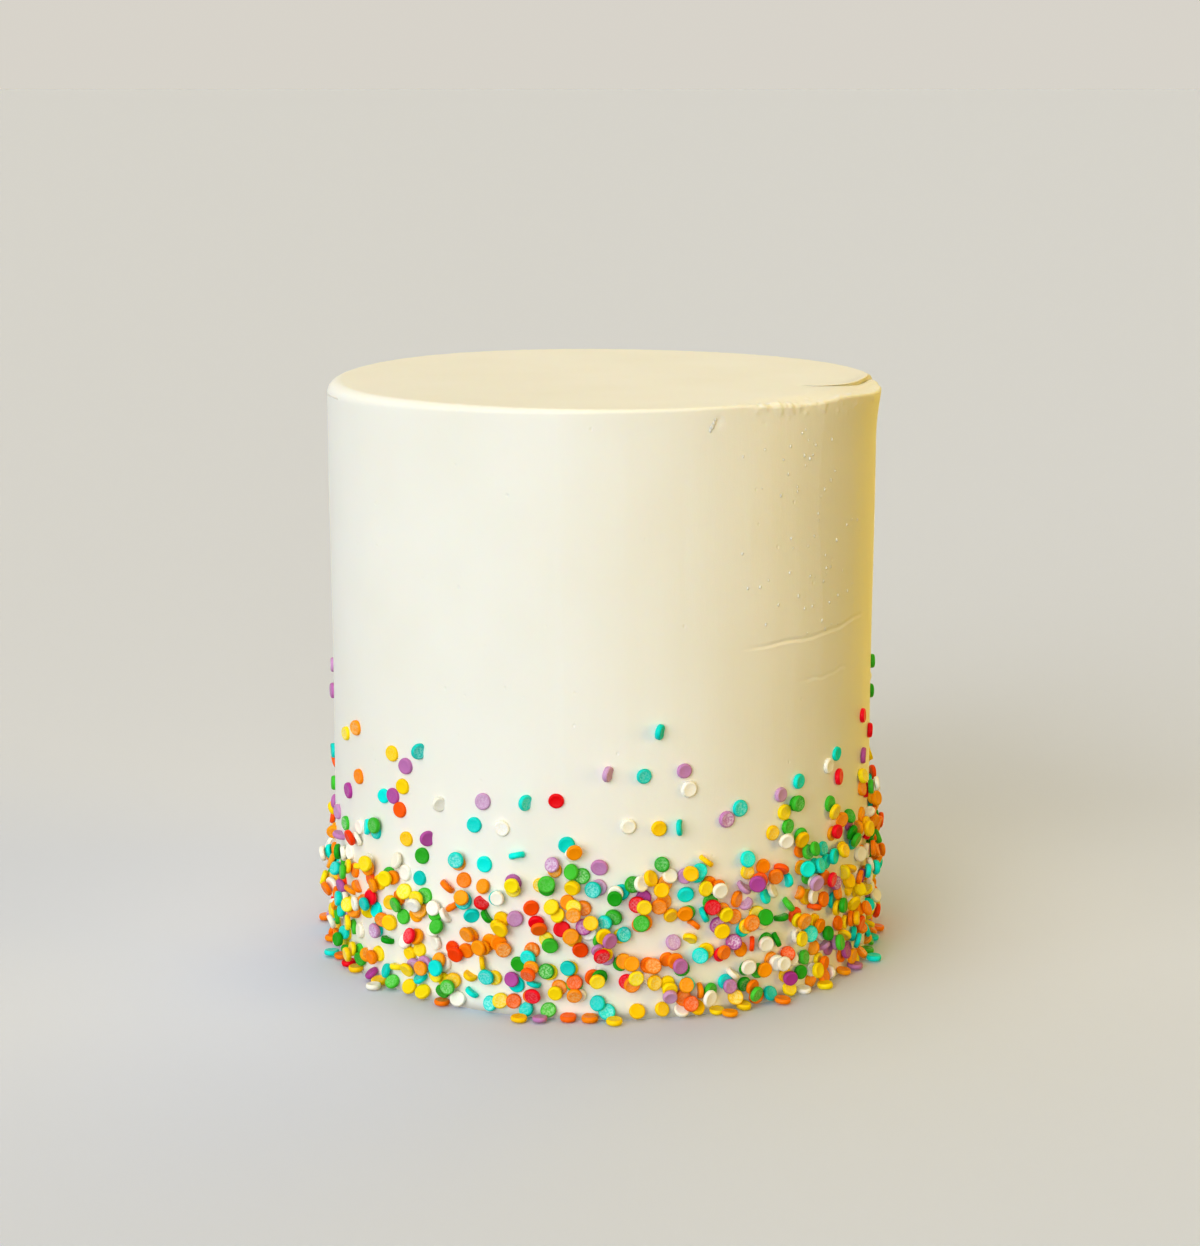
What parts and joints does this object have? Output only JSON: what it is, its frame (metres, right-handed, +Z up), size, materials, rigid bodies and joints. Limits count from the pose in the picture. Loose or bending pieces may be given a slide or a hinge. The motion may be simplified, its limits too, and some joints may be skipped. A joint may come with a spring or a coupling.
{
  "type": "frosted cake with confetti sprinkles",
  "caption": "Tall round cake, smoothly iced in ivory buttercream, with multicoloured sugar confetti pressed round its foot and thinning out up the side.",
  "frame": {"origin": "middle of the flat underside, where the cake's axis meets the surface it stands on", "axes": "+Z up the cake's axis, -Y towards the front, +X to the right seen from the front"},
  "size_m": [0.1984, 0.1982, 0.1934],
  "materials": {
    "buttercream": "satin",
    "confetti_yellow": "satin",
    "confetti_orange": "satin",
    "confetti_coral": "satin",
    "confetti_red": "satin",
    "confetti_green": "satin",
    "confetti_turquoise": "satin",
    "confetti_purple": "satin",
    "confetti_white": "satin"
  },
  "bodies": {
    "root": {"frosted_cake": "buttercream"}
  },
  "joints": []
}
